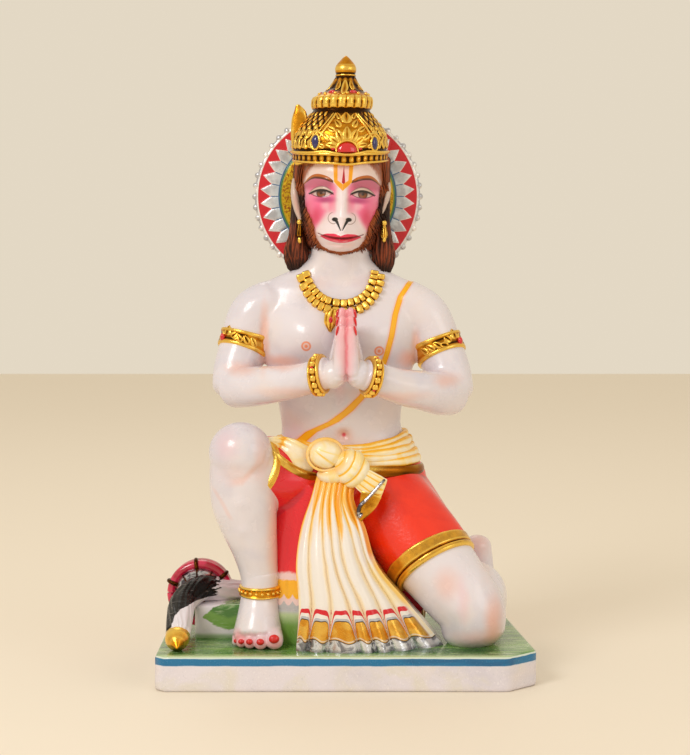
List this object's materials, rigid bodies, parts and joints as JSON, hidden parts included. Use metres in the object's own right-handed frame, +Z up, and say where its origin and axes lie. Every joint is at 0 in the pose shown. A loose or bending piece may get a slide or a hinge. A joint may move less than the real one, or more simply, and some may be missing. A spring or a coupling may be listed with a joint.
{
  "type": "hanuman figure",
  "caption": "Kneeling monkey-faced devotional figure with joined palms, tall crown, round halo, pleated sash and curled tail, carved in one with its flat rectangular plinth.",
  "frame": {"origin": "middle of the plinth's underside, on the surface that the statue stands on", "axes": "+Z up, the face towards -Y, the figure's left hand side towards +X"},
  "size_m": [0.3661, 0.218, 0.61],
  "materials": {
    "painted_marble": "polished white marble, hand painted and gilded"
  },
  "bodies": {
    "root": {"hanuman_figure": "painted_marble"}
  },
  "joints": []
}
